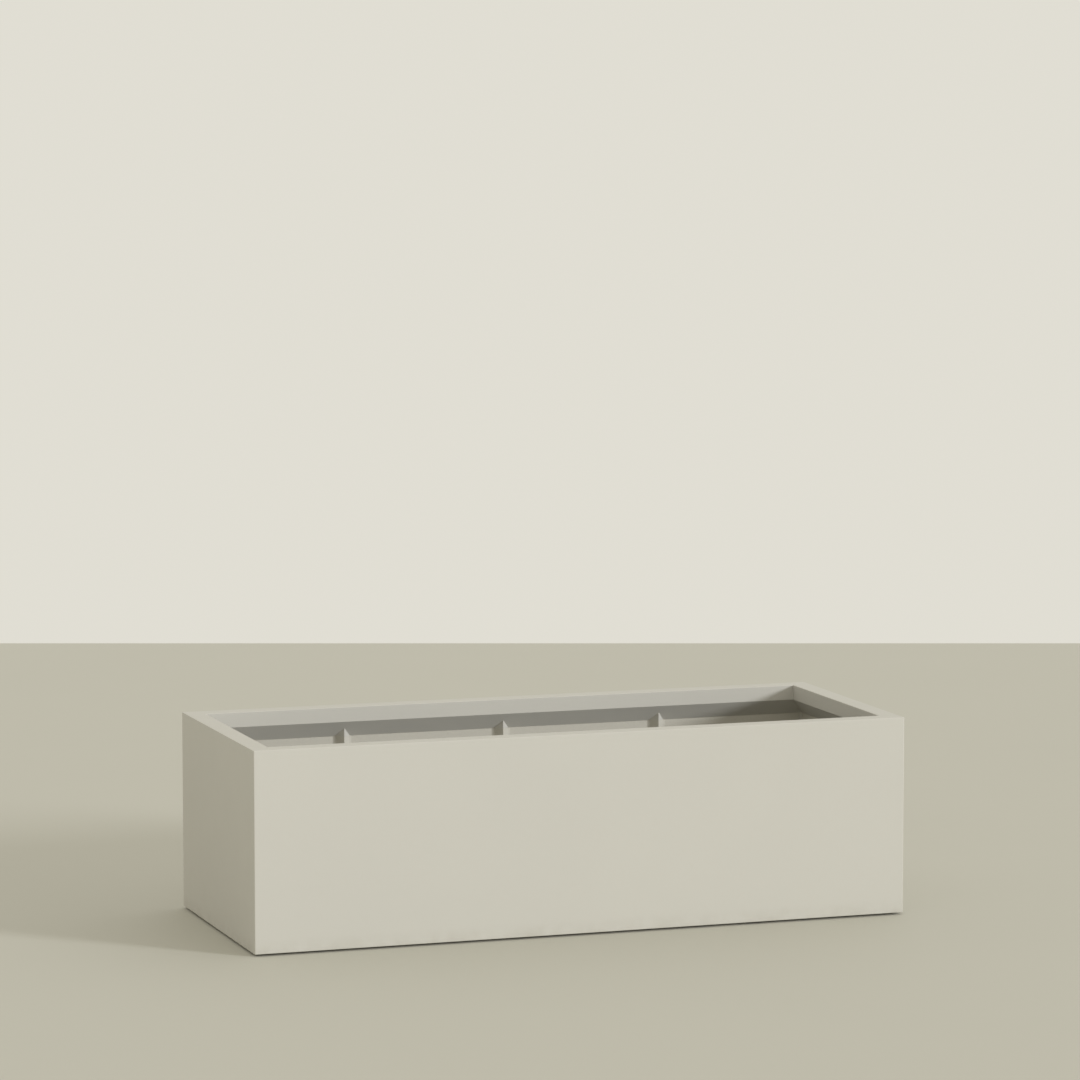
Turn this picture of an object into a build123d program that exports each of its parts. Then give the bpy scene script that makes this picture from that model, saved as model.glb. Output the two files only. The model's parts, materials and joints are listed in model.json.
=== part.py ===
from build123d import *
from math import hypot
import os

# A rectangular self-watering trough planter in glass-reinforced plastic.
# Flat laminates are bonded into a shell with a boxed-out rim and V-shaped wall
# ribs, and sanded flush. A lift-out water tank, welded from plastic sheet,
# stands on the shell's base, under two perforated deck panels.
# Units are millimetres. The origin is at the centre of the footprint, on the
# surface the planter stands on: +X runs along the trough and +Y to its back.

# Shell
LENGTH = 1200
WIDTH = 478
FACE_HEIGHT = 352
FOOT_HEIGHT = 4
WALL = 6.4
CORNER_RADIUS = 2
EDGE_RADIUS = 1.2

# Rim: a flat top, a turned-down lip and a sloped laminate back to the wall
RIM_WIDTH = 35
RIM_SKIN = 5
LIP_DEPTH = 27
RETURN_DEPTH = 57
RETURN_SKIN = 3

# V-shaped ribs on the long walls
RIB_PITCH = 303
RIB_HALF_BASE = 14.5
RIB_DEPTH = 15.5
RIB_SKIN = 2.5

# Foot strips and drains
FOOT_LENGTH = 1100
FOOT_WIDTH = 30
FOOT_Y = 165
DRAIN_RADIUS = 12.5
DRAIN_X = 430
DRAIN_Y = 130

# Reservoir tank
TANK_LENGTH = 1118
TANK_WIDTH = 396
TANK_FLANGE = 3
TANK_LIP = 5
TANK_WALL = 3.5
TANK_DEPTH = 90
TANK_SKID = 8
STIFFENER = 4
SEAT_GAP = 0.3

# Deck panels and what stands under them
PANEL_LENGTH = 556
PANEL_WIDTH = 390
PANEL_GAP = 2
PLATE = 4
WEB = 3
WEB_DEPTH = 10
WEB_Y = 78
SKIRT_CLEARANCE = 3
POST_RADIUS = 20
POST_WALL = 3
POST_HEAD_RADIUS = 30
POST_FOOT_RADIUS = 26
POST_Y = 95

# Wick baskets
BASKET_TOP_RADIUS = 55
BASKET_BOTTOM_RADIUS = 46
BASKET_WALL = 2.4
BASKET_FLANGE_RADIUS = 63
BASKET_OFFSET = 137
SOCKET_RADIUS = 56.5

# Fill tube and level gauge
TUBE_X = 516
TUBE_Y = -155
FILL_RADIUS = 25
FILL_WALL = 2.5
FILL_TOP = 324
GAUGE_RADIUS = 16
GAUGE_WALL = 2
GAUGE_TOP = 262
SIGHT_TOP = 334
FLOAT_TRAVEL = 40
ROD_RADIUS = 2
RUNNING_CLEARANCE = 0.05

# Hinge of the fill tube's lid
HINGE_Y = TUBE_Y + 34
HINGE_Z = FILL_TOP + 2.3
PIN_RADIUS = 2
KNUCKLE_RADIUS = 4
KNUCKLE_HALF = 7.5
EAR_THICKNESS = 5

# Overflow
PIPE_RADIUS = 16
PIPE_WALL = 2
PIPE_HEIGHT = 62

# Worked-out heights
HEIGHT = FOOT_HEIGHT + FACE_HEIGHT
FLOOR_TOP = FOOT_HEIGHT + WALL
LIP_BOTTOM = HEIGHT - LIP_DEPTH
RETURN_BOTTOM = HEIGHT - RETURN_DEPTH
TANK_SEAT = FLOOR_TOP + SEAT_GAP
TANK_BOTTOM = TANK_SEAT + TANK_SKID
TANK_FLOOR = TANK_BOTTOM + TANK_WALL
TANK_TOP = TANK_BOTTOM + TANK_DEPTH
DECK_BOTTOM = TANK_TOP + SEAT_GAP
DECK_TOP = DECK_BOTTOM + PLATE
WEB_BOTTOM = DECK_BOTTOM - WEB_DEPTH
TUBE_BOTTOM = TANK_FLOOR + 8

# Worked-out plan sizes
OPENING_LENGTH = LENGTH - 2 * RIM_WIDTH
OPENING_WIDTH = WIDTH - 2 * RIM_WIDTH
TANK_INSIDE_LENGTH = TANK_LENGTH - 2 * TANK_LIP - 2 * TANK_WALL
TANK_INSIDE_WIDTH = TANK_WIDTH - 2 * TANK_LIP - 2 * TANK_WALL
PANEL_X = (PANEL_LENGTH + PANEL_GAP) / 2

UP = Vector(0, 0, 1)

# Each side of the shell: middle of its outer face, direction inwards, length
SIDES = {
    "front": (Vector(0, -WIDTH / 2, 0), Vector(0, 1, 0), LENGTH),
    "back": (Vector(0, WIDTH / 2, 0), Vector(0, -1, 0), LENGTH),
    "left": (Vector(-LENGTH / 2, 0, 0), Vector(1, 0, 0), WIDTH),
    "right": (Vector(LENGTH / 2, 0, 0), Vector(-1, 0, 0), WIDTH),
}


def save(piece, name):
    """Label a finished piece and write its file."""
    piece.part.label = name
    export_step(piece.part, f"parts/{name}.step")


def section_plane(side):
    """Upright plane across one side: x runs inwards from the outer face, y up."""
    middle, inward, _ = SIDES[side]
    return Plane(origin=middle, x_dir=inward, z_dir=inward.cross(UP))


def plan_plane(side, z=0.0):
    """Level plane along one side: x runs along it, y inwards from the outer face."""
    middle, inward, _ = SIDES[side]
    return Plane(origin=middle + UP * z, x_dir=inward.cross(UP), z_dir=UP)


def mitred(side, near, far):
    """Plan outline of a strip along one side, cut at 45 degrees at both ends."""
    half = SIDES[side][2] / 2
    return [(near - half, near), (half - near, near), (half - far, far), (far - half, far)]


def level_plane(x, y, z):
    """Level plane with its origin at a point."""
    return Plane(origin=(x, y, z))


def upright_plane(x, y):
    """Upright plane through a vertical axis: x runs outwards from it, y up."""
    return Plane(origin=(x, y, 0), x_dir=(1, 0, 0), z_dir=(0, -1, 0))


def turned(x, y, outline):
    """Turn an outline of radius and height points about a vertical axis."""
    with BuildSketch(upright_plane(x, y)) as profile:
        with BuildLine():
            Polyline(*outline, close=True)
        make_face()
    revolve(profile.sketch, axis=Axis((x, y, 0), (0, 0, 1)))


# ---------------------------------------------------------------- shell

def outer_form():
    """The shell's outside, as a solid block with its edges rounded."""
    with BuildPart() as form:
        with BuildSketch(Plane.XY.offset(FOOT_HEIGHT)):
            RectangleRounded(LENGTH, WIDTH, CORNER_RADIUS)
        extrude(amount=FACE_HEIGHT)
        fillet(form.faces().sort_by(Axis.Z)[0].edges(), EDGE_RADIUS)
        fillet(form.faces().sort_by(Axis.Z)[-1].edges(), EDGE_RADIUS)
    return form.part


def shell_panels():
    """Four walls, mitred at the corners, and the base between them."""
    form = outer_form()
    for side in SIDES:
        with BuildPart() as wall:
            with BuildSketch(plan_plane(side, FOOT_HEIGHT)):
                with BuildLine():
                    Polyline(*mitred(side, 0, WALL), close=True)
                make_face()
            extrude(amount=FACE_HEIGHT)
            add(form, mode=Mode.INTERSECT)
        save(wall, f"wall_{side}")
    with BuildPart() as base:
        with BuildSketch(Plane.XY.offset(FOOT_HEIGHT)):
            Rectangle(LENGTH - 2 * WALL, WIDTH - 2 * WALL)
            with Locations((-DRAIN_X, DRAIN_Y), (DRAIN_X, DRAIN_Y)):
                Circle(DRAIN_RADIUS, mode=Mode.SUBTRACT)
        extrude(amount=WALL)
    save(base, "base_panel")


def mitred_strip(side, outline, rounding=0):
    """Extrude a section along one side, mitred at both ends.

    A rounding is the radius of the outline's highest and innermost corner.
    """
    with BuildSketch(section_plane(side)) as section:
        with BuildLine():
            Polyline(*outline, close=True)
        make_face()
        if rounding:
            fillet(section.vertices().group_by(Axis.Y)[-1].sort_by(Axis.X)[-1], rounding)
    extrude(section.sketch, amount=SIDES[side][2] / 2, both=True)
    with BuildSketch(plan_plane(side)) as plan:
        with BuildLine():
            Polyline(*mitred(side, 0, 2 * RIM_WIDTH), close=True)
        make_face()
    extrude(plan.sketch, amount=HEIGHT, mode=Mode.INTERSECT)


def rim_pieces():
    """The rim with its lip, its foam core and the sloped laminate that closes it in."""
    run = RIM_WIDTH - WALL
    slope = (RETURN_DEPTH - LIP_DEPTH) / run
    skin_height = RETURN_SKIN * hypot(1, slope)
    skin_top = RETURN_BOTTOM + skin_height
    lip_back = RIM_WIDTH - RIM_SKIN
    rim_outline = [
        (WALL, HEIGHT - RIM_SKIN),
        (lip_back, HEIGHT - RIM_SKIN),
        (lip_back, LIP_BOTTOM),
        (RIM_WIDTH, LIP_BOTTOM),
        (RIM_WIDTH, HEIGHT),
        (WALL, HEIGHT),
    ]
    return_outline = [
        (WALL, RETURN_BOTTOM),
        (RIM_WIDTH, LIP_BOTTOM),
        (RIM_WIDTH - skin_height / slope, LIP_BOTTOM),
        (WALL, skin_top),
    ]
    core_outline = [
        (WALL, skin_top),
        (lip_back, skin_top + (lip_back - WALL) * slope),
        (lip_back, HEIGHT - RIM_SKIN),
        (WALL, HEIGHT - RIM_SKIN),
    ]
    for side in SIDES:
        with BuildPart() as rim:
            mitred_strip(side, rim_outline, EDGE_RADIUS)
        save(rim, f"rim_{side}")
        with BuildPart() as laminate:
            mitred_strip(side, return_outline)
        save(laminate, f"rim_return_{side}")
        with BuildPart() as core:
            mitred_strip(side, core_outline)
        save(core, f"rim_core_{side}")


def rib_outline(along, half_base, depth):
    """Plan outline of a V standing on a wall's inner face."""
    return [(along - half_base, WALL), (along + half_base, WALL), (along, WALL + depth)]


def cut_under_rim(side):
    """Keep only what lies between the floor and the rim's sloped underside."""
    with BuildSketch(section_plane(side)) as profile:
        with BuildLine():
            Polyline(
                (WALL, FLOOR_TOP),
                (RIM_WIDTH, FLOOR_TOP),
                (RIM_WIDTH, LIP_BOTTOM),
                (WALL, RETURN_BOTTOM),
                close=True,
            )
        make_face()
    extrude(profile.sketch, amount=LENGTH / 2, both=True, mode=Mode.INTERSECT)


def wall_rib(side, place, x):
    """A V-shaped rib laminated over its foam core, on a long wall."""
    along = x * section_plane(side).z_dir.X
    slant = hypot(RIB_HALF_BASE, RIB_DEPTH)
    core_half_base = RIB_HALF_BASE - RIB_SKIN * slant / RIB_DEPTH
    core_depth = RIB_DEPTH - RIB_SKIN * slant / RIB_HALF_BASE
    core_outline = rib_outline(along, core_half_base, core_depth)
    with BuildPart() as rib:
        with BuildSketch(plan_plane(side, FLOOR_TOP)) as section:
            with BuildLine():
                Polyline(*rib_outline(along, RIB_HALF_BASE, RIB_DEPTH), close=True)
            make_face()
            fillet(section.vertices().sort_by(Axis.Y)[-1], EDGE_RADIUS)
            with BuildLine():
                Polyline(*core_outline, close=True)
            make_face(mode=Mode.SUBTRACT)
        extrude(amount=FACE_HEIGHT)
        cut_under_rim(side)
    save(rib, f"wall_rib_{side}_{place}")
    with BuildPart() as core:
        with BuildSketch(plan_plane(side, FLOOR_TOP)):
            with BuildLine():
                Polyline(*core_outline, close=True)
            make_face()
        extrude(amount=FACE_HEIGHT)
        cut_under_rim(side)
    save(core, f"rib_core_{side}_{place}")


def wall_ribs():
    """Three ribs on each long wall."""
    places = {"left": -RIB_PITCH, "centre": 0, "right": RIB_PITCH}
    for side in ("front", "back"):
        for place, x in places.items():
            wall_rib(side, place, x)


def foot_strips():
    """Two rubber strips bonded along the underside, set in from its edges."""
    for name, y in (("front", -FOOT_Y), ("back", FOOT_Y)):
        with BuildPart() as strip:
            with BuildSketch(level_plane(0, y, 0)):
                SlotOverall(FOOT_LENGTH, FOOT_WIDTH)
            extrude(amount=FOOT_HEIGHT)
            chamfer(strip.faces().sort_by(Axis.Z)[0].edges(), 1)
        save(strip, f"foot_strip_{name}")


# ---------------------------------------------------------------- tank

def post_spots():
    """Where the deck posts stand: under each panel and under their joint."""
    return [(-PANEL_X, 0), (0, -POST_Y), (0, POST_Y), (PANEL_X, 0)]


def tank_side(side, bottom, stiffener_places):
    """One side sheet with its flange and upright stiffeners, mitred at both ends."""
    flange_edge = (WIDTH - TANK_WIDTH) / 2
    outer_face = flange_edge + TANK_LIP
    inner_face = outer_face + TANK_WALL
    with BuildPart() as sheet:
        mitred_strip(side, [
            (outer_face, bottom),
            (inner_face, bottom),
            (inner_face, TANK_TOP),
            (flange_edge, TANK_TOP),
            (flange_edge, TANK_TOP - TANK_FLANGE),
            (outer_face, TANK_TOP - TANK_FLANGE),
        ])
        with BuildSketch(plan_plane(side, TANK_BOTTOM)):
            with Locations(*[(along, outer_face) for along in stiffener_places]):
                Rectangle(STIFFENER, STIFFENER, align=(Align.CENTER, Align.MAX))
        extrude(amount=TANK_DEPTH - TANK_FLANGE)
    save(sheet, f"tank_side_{side}")


def reservoir_tank():
    """Four side sheets and the base sheet welded between them."""
    for side in ("front", "back"):
        tank_side(side, TANK_SEAT, [110 * step for step in range(-4, 5)])
    for side in ("left", "right"):
        tank_side(side, TANK_BOTTOM, [-100, 0, 100])
    with BuildPart() as base:
        with BuildSketch(Plane.XY.offset(TANK_BOTTOM)):
            Rectangle(TANK_INSIDE_LENGTH, TANK_INSIDE_WIDTH)
            with Locations((DRAIN_X, DRAIN_Y)):
                Circle(PIPE_RADIUS + 3, mode=Mode.SUBTRACT)
        extrude(amount=TANK_WALL)
    save(base, "tank_base")


def deck_posts():
    """Hollow posts with wide heads and feet that carry the deck's weight to the tank floor."""
    for number, (x, y) in enumerate(post_spots(), start=1):
        with BuildPart() as post:
            turned(x, y, [
                (POST_RADIUS - POST_WALL, TANK_FLOOR),
                (POST_FOOT_RADIUS, TANK_FLOOR),
                (POST_FOOT_RADIUS, TANK_FLOOR + 3),
                (POST_RADIUS, TANK_FLOOR + 6),
                (POST_RADIUS, WEB_BOTTOM - 12),
                (POST_HEAD_RADIUS, WEB_BOTTOM - 4),
                (POST_HEAD_RADIUS, WEB_BOTTOM - SEAT_GAP),
                (6, WEB_BOTTOM - SEAT_GAP),
                (6, WEB_BOTTOM - 4),
                (POST_RADIUS - POST_WALL, WEB_BOTTOM - 10),
            ])
        save(post, f"deck_post_{number}")


def overflow():
    """Standpipe with a notched top that sets the highest water level, and its seal."""
    pipe_bottom = TANK_BOTTOM - 4
    pipe_top = TANK_FLOOR + PIPE_HEIGHT
    with BuildPart() as grommet:
        turned(DRAIN_X, DRAIN_Y, [
            (PIPE_RADIUS, TANK_BOTTOM - 2),
            (PIPE_RADIUS + 6, TANK_BOTTOM - 2),
            (PIPE_RADIUS + 6, TANK_BOTTOM),
            (PIPE_RADIUS + 3, TANK_BOTTOM),
            (PIPE_RADIUS + 3, TANK_FLOOR),
            (PIPE_RADIUS + 6, TANK_FLOOR),
            (PIPE_RADIUS + 4, TANK_FLOOR + 2.5),
            (PIPE_RADIUS, TANK_FLOOR + 2.5),
        ])
    save(grommet, "overflow_grommet")
    with BuildPart() as standpipe:
        with BuildSketch(level_plane(DRAIN_X, DRAIN_Y, pipe_bottom)):
            Circle(PIPE_RADIUS)
            Circle(PIPE_RADIUS - PIPE_WALL, mode=Mode.SUBTRACT)
        extrude(amount=pipe_top - pipe_bottom)
        with Locations((DRAIN_X, DRAIN_Y, pipe_top)):
            with PolarLocations(PIPE_RADIUS, 4):
                Box(8, 7, 12, mode=Mode.SUBTRACT)
    save(standpipe, "overflow_standpipe")


# ---------------------------------------------------------------- deck

def has_room(x, y, sockets, tube, tube_radius, finger_slots):
    """True where an air slot clears everything else on the panel."""
    off_sockets = all(hypot(x - sx, y - sy) > SOCKET_RADIUS + 20 for sx, sy in sockets)
    off_tube = hypot(x - tube[0], y - tube[1]) > tube_radius + 26
    off_fingers = all(abs(x - sx) > 66 or abs(y - sy) > 24 for sx, sy in finger_slots)
    off_webs = abs(abs(y) - WEB_Y) > 7 and (abs(y) > WEB_Y or abs(x) > 13)
    return off_sockets and off_tube and off_fingers and off_webs


def deck_panel(name, hand, tube_radius):
    """Perforated plate on stiffening webs, with sockets for two wick baskets."""
    middle = hand * PANEL_X
    sockets = [(-BASKET_OFFSET, 0), (BASKET_OFFSET, 0)]
    finger_slots = [(0, -135), (0, 135)]
    tube = (hand * TUBE_X - middle, TUBE_Y)
    air_slots = [
        (34 * column, 17 * row)
        for column in range(-7, 8)
        for row in range(-10, 11)
        if has_room(34 * column, 17 * row, sockets, tube, tube_radius, finger_slots)
    ]
    skirt_length = TANK_INSIDE_LENGTH / 2 - SKIRT_CLEARANCE - PANEL_GAP / 2
    skirt_width = TANK_INSIDE_WIDTH - 2 * SKIRT_CLEARANCE
    skirt_shift = hand * (skirt_length - PANEL_LENGTH) / 2
    with BuildPart() as panel:
        with BuildSketch(level_plane(middle, 0, DECK_BOTTOM)):
            RectangleRounded(PANEL_LENGTH, PANEL_WIDTH, 6)
            with Locations(*sockets):
                Circle(SOCKET_RADIUS, mode=Mode.SUBTRACT)
            with Locations(tube):
                Circle(tube_radius + SEAT_GAP, mode=Mode.SUBTRACT)
            with Locations(*finger_slots):
                SlotOverall(98, 28, mode=Mode.SUBTRACT)
            with Locations(*air_slots):
                SlotOverall(22, 4, mode=Mode.SUBTRACT)
        extrude(amount=PLATE)
        with BuildSketch(level_plane(middle, 0, DECK_TOP)):
            with Locations(*finger_slots):
                SlotOverall(106, 36)
                SlotOverall(98, 28, mode=Mode.SUBTRACT)
        extrude(amount=2)
        with BuildSketch(level_plane(middle, 0, WEB_BOTTOM)):
            with Locations((skirt_shift, 0)):
                RectangleRounded(skirt_length, skirt_width, 24)
                RectangleRounded(skirt_length - 2 * WEB, skirt_width - 2 * WEB, 21, mode=Mode.SUBTRACT)
                with Locations((0, -WEB_Y), (0, WEB_Y)):
                    Rectangle(skirt_length - WEB, WEB)
            Rectangle(WEB, 2 * WEB_Y)
            with Locations((-BASKET_OFFSET, 0), (BASKET_OFFSET, 0)):
                Circle(SOCKET_RADIUS + WEB)
                Circle(SOCKET_RADIUS, mode=Mode.SUBTRACT)
        extrude(amount=WEB_DEPTH)
    save(panel, name)


def wick_basket(number, x):
    """Slotted basket that hangs through the deck and stands its soil in the water."""
    bottom = TANK_FLOOR + 4
    rim = DECK_TOP + SEAT_GAP
    with BuildPart() as basket:
        turned(x, 0, [
            (0, bottom),
            (BASKET_BOTTOM_RADIUS, bottom),
            (BASKET_TOP_RADIUS, rim),
            (BASKET_FLANGE_RADIUS, rim),
            (BASKET_FLANGE_RADIUS, rim + 2.4),
            (BASKET_TOP_RADIUS - BASKET_WALL, rim + 2.4),
            (BASKET_BOTTOM_RADIUS - BASKET_WALL, bottom + BASKET_WALL),
            (0, bottom + BASKET_WALL),
        ])
        for height in (bottom + 20, bottom + 52):
            with Locations((x, 0, height)):
                with PolarLocations(BASKET_TOP_RADIUS - 6, 18):
                    Box(18, 5, 24, mode=Mode.SUBTRACT)
        with Locations((x, 0, bottom)):
            with PolarLocations(BASKET_BOTTOM_RADIUS / 2, 8):
                Box(24, 5, 3 * BASKET_WALL, mode=Mode.SUBTRACT)
    save(basket, f"wick_basket_{number}")


def tube_collar(name, x, tube_radius):
    """Flanged collar that grips a tube where it stands on the deck."""
    with BuildPart() as collar:
        turned(x, TUBE_Y, [
            (tube_radius, DECK_TOP),
            (tube_radius + 12, DECK_TOP),
            (tube_radius + 12, DECK_TOP + 3),
            (tube_radius + 5, DECK_TOP + 3),
            (tube_radius + 3, DECK_TOP + 18),
            (tube_radius, DECK_TOP + 18),
        ])
    save(collar, name)


# ---------------------------------------------------------------- fill tube

def fill_tube():
    """Tube that carries water down to the tank, notched at its foot."""
    with BuildPart() as tube:
        with BuildSketch(level_plane(-TUBE_X, TUBE_Y, TUBE_BOTTOM)):
            Circle(FILL_RADIUS)
            Circle(FILL_RADIUS - FILL_WALL, mode=Mode.SUBTRACT)
        extrude(amount=FILL_TOP - TUBE_BOTTOM)
        with Locations((-TUBE_X, TUBE_Y, TUBE_BOTTOM)):
            with PolarLocations(FILL_RADIUS, 4):
                Box(12, 14, 36, mode=Mode.SUBTRACT)
    save(tube, "fill_tube")


def hinge_section(x):
    """Upright plane across the hinge pin: x runs to the back, y up."""
    return Plane(origin=(x, HINGE_Y, HINGE_Z), x_dir=(0, 1, 0), z_dir=(1, 0, 0))


def fill_cap_ring():
    """Ring on the fill tube's top with two ears for the hinge pin."""
    ear_start = KNUCKLE_HALF + 0.4
    with BuildPart() as ring:
        with BuildSketch(level_plane(-TUBE_X, TUBE_Y, FILL_TOP - 18)):
            Circle(FILL_RADIUS + 4)
            Circle(FILL_RADIUS, mode=Mode.SUBTRACT)
        extrude(amount=18)
        for ear_x in (-TUBE_X - ear_start - EAR_THICKNESS, -TUBE_X + ear_start):
            with BuildSketch(hinge_section(ear_x)):
                with BuildLine():
                    Polyline(
                        (-8, -16),
                        (-2, -16),
                        (KNUCKLE_RADIUS, -8),
                        (KNUCKLE_RADIUS, 0),
                        (-KNUCKLE_RADIUS, 0),
                        (-KNUCKLE_RADIUS, -3),
                        (-8, -3),
                        close=True,
                    )
                make_face()
                Circle(KNUCKLE_RADIUS)
                Circle(PIN_RADIUS, mode=Mode.SUBTRACT)
            extrude(amount=EAR_THICKNESS)
    save(ring, "fill_cap_ring")


def fill_cap_lid():
    """Hinged lid with a plug that drops into the tube and a thumb tab."""
    under = FILL_TOP + SEAT_GAP
    lid_radius = FILL_RADIUS + 4.5
    with BuildPart() as lid:
        turned(-TUBE_X, TUBE_Y, [
            (0, under),
            (lid_radius, under),
            (lid_radius, under + 2.6),
            (lid_radius - 1.4, under + 4),
            (0, under + 4),
        ])
        with BuildSketch(level_plane(-TUBE_X, TUBE_Y, under - 5)):
            Circle(21)
            Circle(18.5, mode=Mode.SUBTRACT)
        extrude(amount=5)
        with BuildSketch(level_plane(-TUBE_X, TUBE_Y - lid_radius, under)):
            RectangleRounded(20, 12, 3)
        extrude(amount=3)
        with BuildSketch(level_plane(-TUBE_X, TUBE_Y, under)):
            with Locations((0, (lid_radius - 4 + HINGE_Y - TUBE_Y) / 2)):
                Rectangle(2 * KNUCKLE_HALF, HINGE_Y - TUBE_Y - lid_radius + 4)
        extrude(amount=4)
        with BuildSketch(hinge_section(-TUBE_X - KNUCKLE_HALF)):
            Circle(KNUCKLE_RADIUS)
        extrude(amount=2 * KNUCKLE_HALF)
        with BuildSketch(hinge_section(-TUBE_X - KNUCKLE_HALF)):
            Circle(PIN_RADIUS + RUNNING_CLEARANCE)
        extrude(amount=2 * KNUCKLE_HALF, mode=Mode.SUBTRACT)
    save(lid, "fill_cap_lid")


def fill_cap_pin():
    """Hinge pin held in the ring's ears."""
    half_length = KNUCKLE_HALF + 0.4 + EAR_THICKNESS
    with BuildPart() as pin:
        with BuildSketch(hinge_section(-TUBE_X - half_length)):
            Circle(PIN_RADIUS)
        extrude(amount=2 * half_length)
    save(pin, "fill_cap_pin")


# ---------------------------------------------------------------- level gauge

def gauge():
    """Float in a slotted tube, with a rod that lifts a marker in a clear cap."""
    bore = GAUGE_RADIUS - GAUGE_WALL
    float_bottom = TUBE_BOTTOM + GAUGE_WALL + SEAT_GAP
    float_top = float_bottom + 24
    float_radius = bore - 1.5
    rod_bottom = float_top - 14
    marker_bottom = GAUGE_TOP + 6
    marker_top = marker_bottom + 12
    rod_top = marker_top - 4
    with BuildPart() as tube:
        turned(TUBE_X, TUBE_Y, [
            (0, TUBE_BOTTOM),
            (GAUGE_RADIUS, TUBE_BOTTOM),
            (GAUGE_RADIUS, GAUGE_TOP),
            (bore, GAUGE_TOP),
            (bore, TUBE_BOTTOM + GAUGE_WALL),
            (0, TUBE_BOTTOM + GAUGE_WALL),
        ])
        with Locations((TUBE_X, TUBE_Y, TUBE_BOTTOM + 18)):
            with PolarLocations(GAUGE_RADIUS, 4):
                Box(10, 5, 28, mode=Mode.SUBTRACT)
    save(tube, "gauge_tube")
    with BuildPart() as guide:
        with BuildSketch(level_plane(TUBE_X, TUBE_Y, GAUGE_TOP - 8)):
            Circle(bore)
            Circle(ROD_RADIUS + RUNNING_CLEARANCE, mode=Mode.SUBTRACT)
            with PolarLocations(8.5, 4):
                Circle(2.5, mode=Mode.SUBTRACT)
        extrude(amount=8)
    save(guide, "gauge_guide")
    with BuildPart() as sight:
        turned(TUBE_X, TUBE_Y, [
            (GAUGE_RADIUS, GAUGE_TOP - 14),
            (GAUGE_RADIUS + 2.5, GAUGE_TOP - 14),
            (GAUGE_RADIUS + 2.5, GAUGE_TOP + 1),
            (GAUGE_RADIUS + 0.5, GAUGE_TOP + 3),
            (GAUGE_RADIUS + 0.5, SIGHT_TOP - 5),
            (GAUGE_RADIUS - 3, SIGHT_TOP - 1),
            (0, SIGHT_TOP),
            (0, SIGHT_TOP - 2.5),
            (GAUGE_RADIUS - 4, SIGHT_TOP - 3.5),
            (bore, SIGHT_TOP - 6),
            (bore, GAUGE_TOP),
            (GAUGE_RADIUS, GAUGE_TOP),
        ])
        for level in (marker_bottom, marker_bottom + FLOAT_TRAVEL):
            with BuildSketch(level_plane(TUBE_X, TUBE_Y, level)):
                Circle(GAUGE_RADIUS + 1.2)
                Circle(GAUGE_RADIUS, mode=Mode.SUBTRACT)
            extrude(amount=1.2)
    save(sight, "gauge_sight_cap")
    with BuildPart() as float_body:
        turned(TUBE_X, TUBE_Y, [
            (0, float_bottom),
            (float_radius - 3, float_bottom),
            (float_radius, float_bottom + 3),
            (float_radius, float_top - 3),
            (float_radius - 3, float_top),
            (ROD_RADIUS, float_top),
            (ROD_RADIUS, rod_bottom),
            (0, rod_bottom),
        ])
    save(float_body, "gauge_float")
    with BuildPart() as rod:
        with BuildSketch(level_plane(TUBE_X, TUBE_Y, rod_bottom)):
            Circle(ROD_RADIUS)
        extrude(amount=rod_top - rod_bottom)
    save(rod, "gauge_rod")
    with BuildPart() as marker:
        turned(TUBE_X, TUBE_Y, [
            (ROD_RADIUS, marker_bottom),
            (9, marker_bottom),
            (10, marker_bottom + 1),
            (10, marker_top - 1),
            (9, marker_top),
            (0, marker_top),
            (0, rod_top),
            (ROD_RADIUS, rod_top),
        ])
    save(marker, "gauge_marker")


os.makedirs("parts", exist_ok=True)
shell_panels()
rim_pieces()
wall_ribs()
foot_strips()
reservoir_tank()
deck_posts()
overflow()
deck_panel("deck_panel_left", -1, FILL_RADIUS)
deck_panel("deck_panel_right", 1, GAUGE_RADIUS)
basket_places = (
    -PANEL_X - BASKET_OFFSET,
    -PANEL_X + BASKET_OFFSET,
    PANEL_X - BASKET_OFFSET,
    PANEL_X + BASKET_OFFSET,
)
for basket_number, basket_x in enumerate(basket_places, start=1):
    wick_basket(basket_number, basket_x)
tube_collar("fill_collar", -TUBE_X, FILL_RADIUS)
fill_tube()
fill_cap_ring()
fill_cap_lid()
fill_cap_pin()
tube_collar("gauge_collar", TUBE_X, GAUGE_RADIUS)
gauge()
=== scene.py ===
import json
from math import cos, pi, radians, sin

import bmesh
import bpy
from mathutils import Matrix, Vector, noise


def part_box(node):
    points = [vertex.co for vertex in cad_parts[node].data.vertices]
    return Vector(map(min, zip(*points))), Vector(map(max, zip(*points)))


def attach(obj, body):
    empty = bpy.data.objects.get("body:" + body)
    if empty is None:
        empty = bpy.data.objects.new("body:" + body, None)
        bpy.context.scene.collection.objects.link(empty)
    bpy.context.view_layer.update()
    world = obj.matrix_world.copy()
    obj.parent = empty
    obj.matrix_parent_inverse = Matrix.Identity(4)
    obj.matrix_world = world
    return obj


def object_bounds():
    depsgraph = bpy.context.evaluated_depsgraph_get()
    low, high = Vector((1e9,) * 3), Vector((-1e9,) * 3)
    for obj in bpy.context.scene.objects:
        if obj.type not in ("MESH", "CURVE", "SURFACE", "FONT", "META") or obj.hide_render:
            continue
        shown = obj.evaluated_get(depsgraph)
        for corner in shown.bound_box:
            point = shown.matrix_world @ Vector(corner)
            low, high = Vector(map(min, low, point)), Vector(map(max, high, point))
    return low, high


# The look of a self-watering trough planter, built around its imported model.
# Everything is in metres, in the model's own frame, but for the camera's lens and
# sensor, which are in millimetres.

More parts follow.
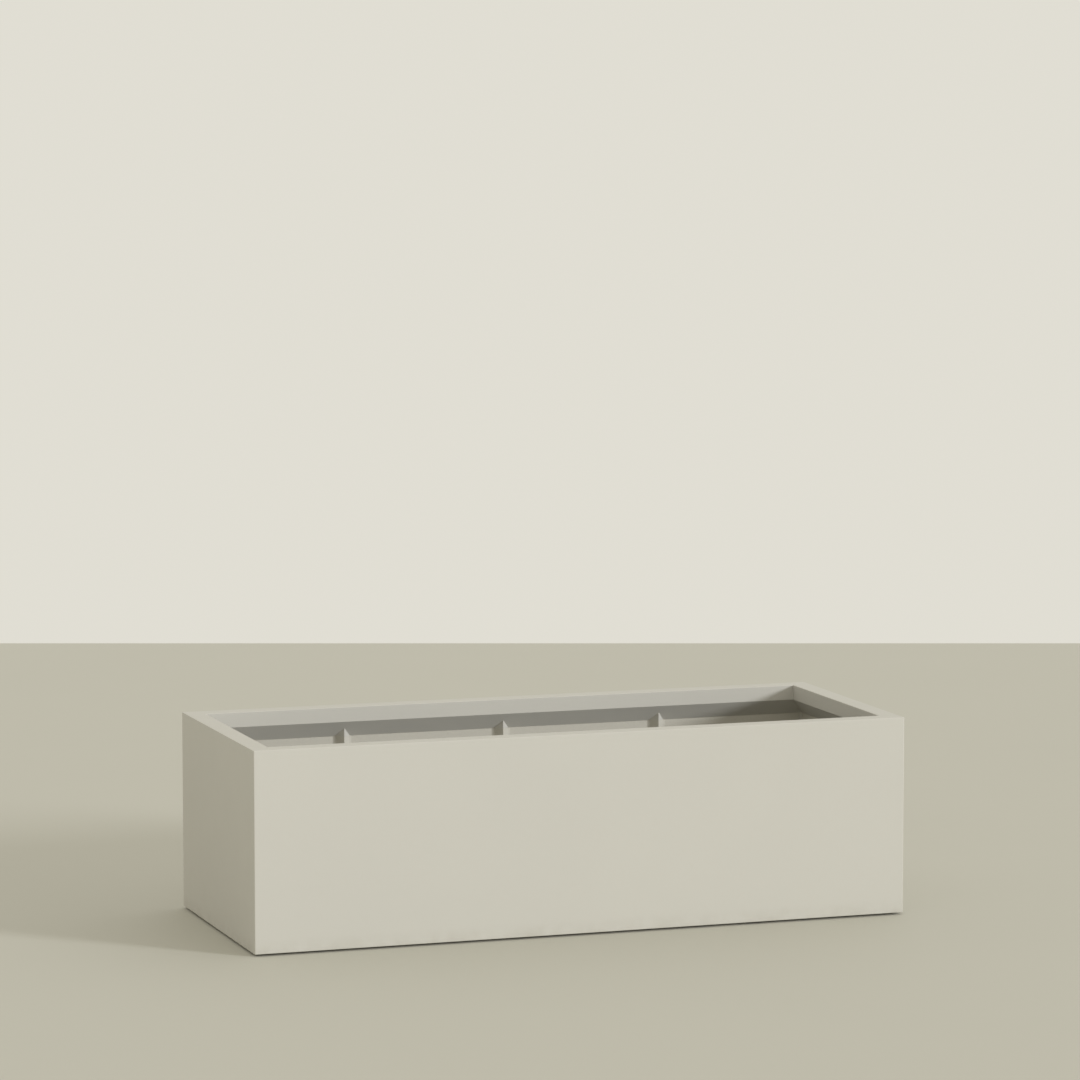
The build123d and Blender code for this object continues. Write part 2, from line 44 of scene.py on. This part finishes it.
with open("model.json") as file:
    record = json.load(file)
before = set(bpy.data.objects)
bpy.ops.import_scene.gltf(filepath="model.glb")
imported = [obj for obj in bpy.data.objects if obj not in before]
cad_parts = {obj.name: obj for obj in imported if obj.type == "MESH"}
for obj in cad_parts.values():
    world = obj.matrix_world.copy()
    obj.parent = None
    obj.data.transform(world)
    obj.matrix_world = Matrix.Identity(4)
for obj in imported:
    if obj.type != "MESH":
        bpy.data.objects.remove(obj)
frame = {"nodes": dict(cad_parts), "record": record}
CAD_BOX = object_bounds()
HIGH = CAD_BOX[1]
RETURN_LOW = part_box("rim_return_back")[0]


# ---------------------------------------------------------------- camera and light

CAMERA_PLACE = (-2.753, -8.035, 1.615)
CAMERA_PITCH = radians(6.35)
CAMERA_YAW = radians(18.89)
CAMERA_LENS = 160.2
CAMERA_SENSOR = 36
CAMERA_CLIP = 200
SKY_COLOUR = (1.0, 0.972, 0.872)
SKY_STRENGTH = 0.75
KEY_COLOUR = (0.92, 0.945, 1.0)
KEY_STRENGTH = 2.08
KEY_TURN = radians(46)
KEY_RISE = radians(14.5)
KEY_SPREAD = radians(10)
FILL_COLOUR = (0.87, 0.92, 1.0)
FILL_STRENGTH = 0.15
FILL_TURN = radians(130)
FILL_RISE = radians(35)
FILL_SPREAD = radians(60)
FLOOR_COLOUR = (0.55, 0.535, 0.465)
FLOOR_REACH = 3.65
FLOOR_DEPTH = 0.05
FLOOR_BEVEL = 0.01
FLOOR_SIDES = 8


def make_camera():
    """A long lens at eye height, looking along the photographed direction."""
    data = bpy.data.cameras.new("camera")
    data.sensor_width = CAMERA_SENSOR
    data.lens = CAMERA_LENS
    data.clip_end = CAMERA_CLIP
    camera = bpy.data.objects.new("camera", data)
    camera.location = CAMERA_PLACE
    camera.rotation_euler = (pi / 2 - CAMERA_PITCH, 0, -CAMERA_YAW)
    bpy.context.scene.collection.objects.link(camera)
    bpy.context.scene.camera = camera


def sun_light(name, turn, rise, spread, strength, colour):
    """A distant soft light, turned from straight in front to the right and raised."""
    towards = Vector((cos(rise) * sin(turn), -cos(rise) * cos(turn), sin(rise)))
    data = bpy.data.lights.new(name, "SUN")
    data.angle = spread
    data.energy = strength
    data.color = colour
    light = bpy.data.objects.new(name, data)
    light.rotation_euler = (-towards).to_track_quat("-Z", "Y").to_euler()
    light.location = towards
    bpy.context.scene.collection.objects.link(light)
    return light


def make_lights():
    """A low key from the front right and a weak fill from the back right, under a pale sky.

    The key is left out of reflections, so it doesn't glare off level plastic.
    """
    world = bpy.data.worlds.new("studio")
    world.use_nodes = True
    background = world.node_tree.nodes["Background"]
    background.inputs["Color"].default_value = (*SKY_COLOUR, 1)
    background.inputs["Strength"].default_value = SKY_STRENGTH
    bpy.context.scene.world = world
    key = sun_light("key", KEY_TURN, KEY_RISE, KEY_SPREAD, KEY_STRENGTH, KEY_COLOUR)
    key.visible_glossy = False
    sun_light("fill", FILL_TURN, FILL_RISE, FILL_SPREAD, FILL_STRENGTH, FILL_COLOUR)
    bpy.context.scene.view_settings.view_transform = "Standard"


# ---------------------------------------------------------------- materials

# The gelcoat is rolled on every face deeper than the skin and lower than the rim
# returns, with some slack, and is tinted warmer there as painted warm shade. It is
# darker in patches from its feet up to the dark band's top.
OUTER_SKIN = 0.004
RIM_SLACK = 0.001
FOOT_HEIGHT = 0.004
DARK_BAND_TOP = 0.030
MOULD_GRAIN = 0.0007
EDGE_RADIUS = 0.0012
SCUFF_COLOUR = (0.24, 0.24, 0.235)


def shade(colour, amount):
    """A colour made lighter or darker."""
    return tuple(amount * part for part in colour)


class Surface:
    """A principled material whose colour, roughness and bump are built from parts."""

    def __init__(self, name, colour, roughness, **shader_values):
        self.material = bpy.data.materials.new(name)
        self.material.use_nodes = True
        self.tree = self.material.node_tree
        self.shader = self.tree.nodes["Principled BSDF"]
        for socket, value in shader_values.items():
            self.shader.inputs[socket.replace("_", " ")].default_value = value
        self.place = self.node("ShaderNodeTexCoord").outputs["Object"]
        self.colour = (*colour, 1)
        self.roughness = roughness
        self.normal = None

    def node(self, kind, **settings):
        made = self.tree.nodes.new(kind)
        for key, value in settings.items():
            setattr(made, key, value)
        return made

    def join(self, source, socket):
        """Feed a socket from another socket or a plain value."""
        if isinstance(source, bpy.types.NodeSocket):
            self.tree.links.new(source, socket)
        else:
            socket.default_value = source

    def math(self, operation, first, second=0.0):
        made = self.node("ShaderNodeMath", operation=operation)
        self.join(first, made.inputs[0])
        self.join(second, made.inputs[1])
        return made.outputs[0]

    def stretched(self, scale):
        """Object coordinates scaled along each axis."""
        made = self.node("ShaderNodeMapping")
        self.join(self.place, made.inputs["Vector"])
        made.inputs["Scale"].default_value = scale
        return made.outputs["Vector"]

    def noise(self, size, detail=3.0, rough=0.5, stretch=(1, 1, 1)):
        """Soft noise whose features are about size metres across, from 0 to 1."""
        made = self.node("ShaderNodeTexNoise")
        self.join(self.stretched(stretch), made.inputs["Vector"])
        made.inputs["Scale"].default_value = 1 / size
        made.inputs["Detail"].default_value = detail
        made.inputs["Roughness"].default_value = rough
        return made.outputs["Fac"]

    def ramp(self, source, low, high, start=0.0, end=1.0):
        """Remap low..high to start..end, clamped."""
        made = self.node("ShaderNodeMapRange")
        self.join(source, made.inputs["Value"])
        limits = {"From Min": low, "From Max": high, "To Min": start, "To Max": end}
        for socket, value in limits.items():
            made.inputs[socket].default_value = value
        return made.outputs["Result"]

    def tint(self, colour, amount):
        """Mix another colour in by an amount from 0 to 1."""
        made = self.node("ShaderNodeMix", data_type="RGBA")
        self.join(amount, made.inputs["Factor"])
        self.join(self.colour, made.inputs["A"])
        self.join((*colour, 1), made.inputs["B"])
        self.colour = made.outputs["Result"]

    def patches(self, colour, source, low, high, most):
        """Mix another colour in from where a noise is low, rising to most where it is high."""
        self.tint(colour, self.ramp(source, low, high, end=most))

    def vary_roughness(self, source, change):
        """Add a centred variation to the roughness."""
        centred = self.math("SUBTRACT", source, 0.5)
        self.roughness = self.math("ADD", self.roughness, self.math("MULTIPLY", centred, change))

    def bump(self, height, depth, strength=1.0):
        """Raise the surface by a height from 0 to 1, depth metres deep."""
        made = self.node("ShaderNodeBump")
        self.join(height, made.inputs["Height"])
        self.join(strength, made.inputs["Strength"])
        made.inputs["Distance"].default_value = depth
        if self.normal is not None:
            self.join(self.normal, made.inputs["Normal"])
        self.normal = made.outputs["Normal"]

    def edges(self, radius):
        """1 on sharp edges and 0 on flats, from the spread of nearby normals."""
        rounded = self.node("ShaderNodeBevel", samples=4)
        rounded.inputs["Radius"].default_value = radius
        geometry = self.node("ShaderNodeNewGeometry")
        turn = self.node("ShaderNodeVectorMath", operation="DOT_PRODUCT")
        self.join(rounded.outputs["Normal"], turn.inputs[0])
        self.join(geometry.outputs["Normal"], turn.inputs[1])
        return self.ramp(turn.outputs["Value"], 0.99, 0.75)

    def done(self):
        """Connect everything and return the material."""
        self.join(self.colour, self.shader.inputs["Base Color"])
        self.join(self.roughness, self.shader.inputs["Roughness"])
        if self.normal is not None:
            self.join(self.normal, self.shader.inputs["Normal"])
        return self.material


def gelcoat():
    """Warm matte finish: faint mottling and orange peel outside, a rolled texture and painted
    warm shade inside, and darker patches near the bottom.
    """
    made = Surface("gelcoat", (0.563, 0.547, 0.494), 0.56, Specular_IOR_Level=0.35)
    axes = made.node("ShaderNodeSeparateXYZ")
    made.join(made.place, axes.inputs["Vector"])
    across = made.math("ABSOLUTE", axes.outputs["X"])
    deep = made.math("ABSOLUTE", axes.outputs["Y"])
    inside = made.math("MULTIPLY",
                       made.math("LESS_THAN", across, HIGH.x - OUTER_SKIN),
                       made.math("LESS_THAN", deep, HIGH.y - OUTER_SKIN))
    below_rim = made.math("LESS_THAN", axes.outputs["Z"], RETURN_LOW.z + RIM_SLACK)
    rolled_and_painted_shade = made.math("MULTIPLY", inside, below_rim)
    made.patches((0.579, 0.562, 0.506), made.noise(0.35, 2), 0.35, 0.65, 0.6)
    # Painted warm shade: the faces inside and below the rim returns are tinted warmer.
    made.tint((0.572, 0.547, 0.474), rolled_and_painted_shade)
    made.patches((0.540, 0.515, 0.440), made.noise(0.012, 5, 0.6), 0.55, 0.85, 0.22)
    made.patches((0.43, 0.41, 0.35), made.noise(0.0011, 1), 0.70, 0.76, 0.22)
    # Darker in patches towards the bottom, from the feet up to the band's top.
    low = made.ramp(axes.outputs["Z"], DARK_BAND_TOP, FOOT_HEIGHT)
    dark_band = made.math("MULTIPLY", low, made.ramp(made.noise(0.03, 4), 0.35, 0.75, 0.0, 0.30))
    made.tint((0.36, 0.33, 0.26), dark_band)
    made.vary_roughness(made.noise(0.05, 4), 0.16)
    made.bump(made.noise(0.0028, 2), 0.00003)
    made.bump(made.noise(0.16, 1), 0.0006, 0.5)
    made.bump(made.math("MULTIPLY", made.noise(0.004, 3, 0.6), rolled_and_painted_shade), 0.0005, 0.7)
    return made.done()


def moulded(name, colour, roughness):
    """Moulded plastic: fine grain, cloudy tone, pale rubbed edges and a few scuffs."""
    made = Surface(name, colour, roughness, Specular_IOR_Level=0.45)
    made.patches(shade(colour, 1.35), made.noise(0.045, 4), 0.35, 0.75, 0.7)
    made.patches(shade(colour, 0.72), made.noise(0.006, 3), 0.50, 0.80, 0.5)
    made.patches(SCUFF_COLOUR, made.noise(0.0016, 1), 0.74, 0.78, 0.35)
    scratches = made.noise(0.004, 2, 0.5, (1, 14, 1))
    made.patches(SCUFF_COLOUR, scratches, 0.71, 0.76, 0.25)
    made.tint(SCUFF_COLOUR, made.math("MULTIPLY", made.edges(EDGE_RADIUS), 0.4))
    made.vary_roughness(made.noise(0.02, 4), 0.22)
    made.bump(made.noise(MOULD_GRAIN, 2), 0.00006)
    made.bump(made.noise(0.03, 2), 0.0004, 0.4)
    return made.done()


def pipe():
    """Grey extruded pipe with faint lines along it and a few rubs."""
    made = Surface("pipe_plastic", (0.235, 0.25, 0.26), 0.36, Specular_IOR_Level=0.5)
    made.patches((0.29, 0.305, 0.315), made.noise(0.05, 3), 0.3, 0.7, 0.6)
    lines = made.noise(0.0012, 2, 0.5, (1, 1, 0.02))
    made.patches((0.20, 0.215, 0.225), lines, 0.45, 0.75, 0.35)
    rubs = made.noise(0.003, 2, 0.5, (8, 8, 1))
    made.patches((0.48, 0.49, 0.49), rubs, 0.72, 0.78, 0.3)
    made.vary_roughness(made.noise(0.02, 3), 0.16)
    made.bump(lines, 0.00004)
    return made.done()


def rubber(name, colour):
    """Dull rubber with a fine grain and a dusty bloom."""
    made = Surface(name, colour, 0.8, Specular_IOR_Level=0.3)
    made.patches(shade(colour, 2.4), made.noise(0.012, 4), 0.45, 0.75, 0.6)
    made.vary_roughness(made.noise(0.01, 3), 0.15)
    made.bump(made.noise(0.0006, 2), 0.00008)
    return made.done()


def foam():
    """Pale closed-cell foam with visible pores."""
    made = Surface("foam_core", (0.74, 0.64, 0.38), 0.9)
    made.patches((0.62, 0.52, 0.29), made.noise(0.004, 3), 0.45, 0.75, 0.6)
    made.bump(made.noise(0.0012, 2), 0.0004)
    return made.done()


def steel():
    """Drawn stainless rod with fine lines along it."""
    made = Surface("pin_steel", (0.60, 0.59, 0.57), 0.28, Metallic=1.0)
    lines = made.noise(0.0006, 2, 0.5, (0.05, 1, 1))
    made.patches((0.50, 0.49, 0.47), lines, 0.4, 0.7, 0.5)
    made.vary_roughness(made.noise(0.003, 3), 0.15)
    made.bump(lines, 0.00002)
    return made.done()


def clear():
    """Clear moulded plastic with faint haze and moulding ripples."""
    made = Surface("clear_plastic", (0.93, 0.96, 0.96), 0.07, Transmission_Weight=1.0, IOR=1.49)
    made.vary_roughness(made.noise(0.01, 4), 0.08)
    made.bump(made.noise(0.02, 1), 0.0002, 0.4)
    return made.done()


def glossy(name, colour, deeper):
    """Glossy moulded plastic with slight clouding and fine handling marks."""
    made = Surface(name, colour, 0.27, Specular_IOR_Level=0.5)
    made.patches(deeper, made.noise(0.008, 4), 0.4, 0.75, 0.55)
    made.vary_roughness(made.noise(0.004, 4), 0.2)
    made.bump(made.noise(0.0015, 2), 0.00004)
    return made.done()


def stage_paint(name, colour):
    """Plain pale studio paint, with just enough tone not to look flat."""
    made = Surface(name, colour, 0.75, Specular_IOR_Level=0.2)
    made.patches(shade(colour, 0.97), made.noise(0.9, 3), 0.4, 0.7, 0.3)
    made.bump(made.noise(0.004, 2), 0.0001)
    return made.done()


def dress_nodes():
    """Give every node of the model its material, by the record's slots."""
    finishes = {
        "gelcoat": gelcoat(),
        "foam_core": foam(),
        "foot_rubber": rubber("foot_rubber", (0.018, 0.018, 0.018)),
        "tank_plastic": moulded("tank_plastic", (0.030, 0.033, 0.036), 0.52),
        "deck_plastic": moulded("deck_plastic", (0.128, 0.130, 0.126), 0.50),
        "basket_plastic": moulded("basket_plastic", (0.055, 0.075, 0.058), 0.48),
        "pipe_plastic": pipe(),
        "fitting_plastic": moulded("fitting_plastic", (0.038, 0.041, 0.044), 0.42),
        "seal_rubber": rubber("seal_rubber", (0.012, 0.012, 0.012)),
        "pin_steel": steel(),
        "clear_plastic": clear(),
        "float_plastic": glossy("float_plastic", (0.72, 0.71, 0.66), (0.60, 0.59, 0.53)),
        "marker_plastic": glossy("marker_plastic", (0.52, 0.022, 0.010), (0.36, 0.012, 0.006)),
    }
    for subpart in frame["record"]["subparts"]:
        node = frame["nodes"][subpart["node"]]
        node.data.materials.clear()
        node.data.materials.append(finishes[subpart["material_slot"]])
    return finishes


# ---------------------------------------------------------------- beads

# A bead's reach is how far it covers each surface, and its root is how far it is
# sunk into the corner. Its fullness runs from 0, hollow, to 1, full. Its ripple is
# a share of its reach, and a ripple's length is counted in pitches, the distances
# between rings.
BEAD_ROOT = 0.0002
BEAD_FLATS = 4
BEAD_SHARP = radians(50)
RIPPLE_LENGTH = 2.2
FILLET_FLOOR_REACH = 0.006
FILLET_CORNER_REACH = 0.005
FILLET_FULLNESS = 0.3
FILLET_RIPPLE = 0.10
FILLET_PITCH = 0.012
RIB_FILLET_REACH = 0.003
RIB_FILLET_FULLNESS = 0.35
WELD_FLOOR_REACH = 0.0026
WELD_CORNER_REACH = 0.0024
WELD_FULLNESS = 0.72
WELD_RIPPLE = 0.35
WELD_PITCH = 0.003
WELD_TOP_GAP = 0.004


def bead_rings(mesh, run, ripple, pitch):
    """Add one closed bead to a mesh, along a straight inside corner.

    A run holds its start and end, the two directions that lead away from the
    corner along the surfaces, the bead's reach along them, and its fullness:
    0 is hollow and 1 is full.
    """
    start, end, first, second, reach, fullness = run
    steps = max(2, round((end - start).length / pitch))
    rings = []
    for step in range(steps + 1):
        corner = start.lerp(end, step / steps)
        size = reach * (1 + ripple * noise.noise(corner / (RIPPLE_LENGTH * pitch)))
        points = [corner - BEAD_ROOT * (first + second)]
        for flat in range(BEAD_FLATS + 1):
            t = flat / BEAD_FLATS
            bulge = 2 * t * (1 - t) * fullness
            outline = (1 - t) ** 2 * first + t ** 2 * second + bulge * (first + second)
            points.append(corner + size * outline)
        rings.append([mesh.verts.new(point) for point in points])
    mesh.faces.new(rings[0])
    mesh.faces.new(rings[-1])
    for here, there in zip(rings, rings[1:]):
        for corner in range(len(here)):
            after = (corner + 1) % len(here)
            mesh.faces.new((here[corner], here[after], there[after], there[corner]))


def make_beads(name, body, material, runs, ripple, pitch):
    """Make one object of beads that rides with a body."""
    mesh = bmesh.new()
    for run in runs:
        bead_rings(mesh, run, ripple, pitch)
    bmesh.ops.recalc_face_normals(mesh, faces=mesh.faces)
    data = bpy.data.meshes.new(name)
    mesh.to_mesh(data)
    mesh.free()
    for face in data.polygons:
        face.use_smooth = True
    data.set_sharp_from_angle(angle=BEAD_SHARP)
    beads = bpy.data.objects.new(name, data)
    data.materials.append(material)
    bpy.context.scene.collection.objects.link(beads)
    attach(beads, body)


def floor_runs(low, high, z, reach, fullness):
    """Runs around the foot of four walls that stand around a level rectangle."""
    up = Vector((0, 0, 1))
    corners = [Vector((x, y, z)) for x, y in (
        (low.x, low.y), (high.x, low.y), (high.x, high.y), (low.x, high.y))]
    runs = []
    for here, there in zip(corners, corners[1:] + corners[:1]):
        inward = up.cross((there - here).normalized())
        runs.append((here, there, inward, up, reach, fullness))
    return runs


def corner_runs(low, high, bottom, top, reach, fullness):
    """Upright runs in the four corners of a rectangle."""
    return [
        (Vector((x, y, bottom)), Vector((x, y, top)), Vector((-x, 0, 0)).normalized(),
         Vector((0, -y, 0)).normalized(), reach, fullness)
        for x in (low.x, high.x) for y in (low.y, high.y)
    ]


def rib_runs(bottom, top):
    """Runs along both feet of every wall rib."""
    runs = []
    for node in frame["nodes"]:
        if node.startswith("wall_rib_"):
            low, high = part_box(node)
            back = low.y > 0
            wall = high.y if back else low.y
            crest = low.y if back else high.y
            middle = (low.x + high.x) / 2
            for x in (low.x, high.x):
                outward = Vector((x - middle, 0, 0)).normalized()
                climb = Vector((middle - x, crest - wall, 0)).normalized()
                start, end = Vector((x, wall, bottom)), Vector((x, wall, top))
                runs.append((start, end, outward, climb, RIB_FILLET_REACH, RIB_FILLET_FULLNESS))
    return runs


def dress_joints(finishes):
    """Resin fillets along the shell's inside corners and weld beads inside the tank."""
    base_low, base_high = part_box("base_panel")
    foot, top = base_high.z, RETURN_LOW.z
    resin = floor_runs(base_low, base_high, foot, FILLET_FLOOR_REACH, FILLET_FULLNESS)
    resin += corner_runs(base_low, base_high, foot, top, FILLET_CORNER_REACH, FILLET_FULLNESS)
    resin += rib_runs(foot, top)
    make_beads("resin_fillets", "planter", finishes["gelcoat"], resin,
               FILLET_RIPPLE, FILLET_PITCH)
    tank_low, tank_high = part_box("tank_base")
    foot, top = tank_high.z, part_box("tank_side_front")[1].z - WELD_TOP_GAP
    welds = floor_runs(tank_low, tank_high, foot, WELD_FLOOR_REACH, WELD_FULLNESS)
    welds += corner_runs(tank_low, tank_high, foot, top, WELD_CORNER_REACH, WELD_FULLNESS)
    make_beads("tank_welds", "tank", finishes["tank_plastic"], welds,
               WELD_RIPPLE, WELD_PITCH)


# ---------------------------------------------------------------- stage

def make_stage():
    """A pale eight-sided floor, one side square to the camera, under the plain sky."""
    half_side = pi / FLOOR_SIDES
    facing = pi / 2 - CAMERA_YAW
    angles = [facing + half_side + 2 * half_side * turn for turn in range(FLOOR_SIDES)]
    corner_radius = FLOOR_REACH / cos(half_side)
    mesh = bmesh.new()
    rings = []
    for inset, z in ((0, -FLOOR_DEPTH), (0, -FLOOR_BEVEL), (FLOOR_BEVEL, 0)):
        radius = corner_radius - inset
        rings.append([
            mesh.verts.new((radius * cos(angle), radius * sin(angle), z)) for angle in angles])
    mesh.faces.new(reversed(rings[0]))
    mesh.faces.new(rings[-1])
    for lower, upper in zip(rings, rings[1:]):
        for turn in range(FLOOR_SIDES):
            after = (turn + 1) % FLOOR_SIDES
            mesh.faces.new((lower[turn], lower[after], upper[after], upper[turn]))
    data = bpy.data.meshes.new("stage_floor")
    mesh.to_mesh(data)
    mesh.free()
    floor = bpy.data.objects.new("stage_floor", data)
    floor.data.materials.append(stage_paint("stage_paint", FLOOR_COLOUR))
    bpy.context.scene.collection.objects.link(floor)


make_camera()
make_lights()
dress_joints(dress_nodes())
make_stage()
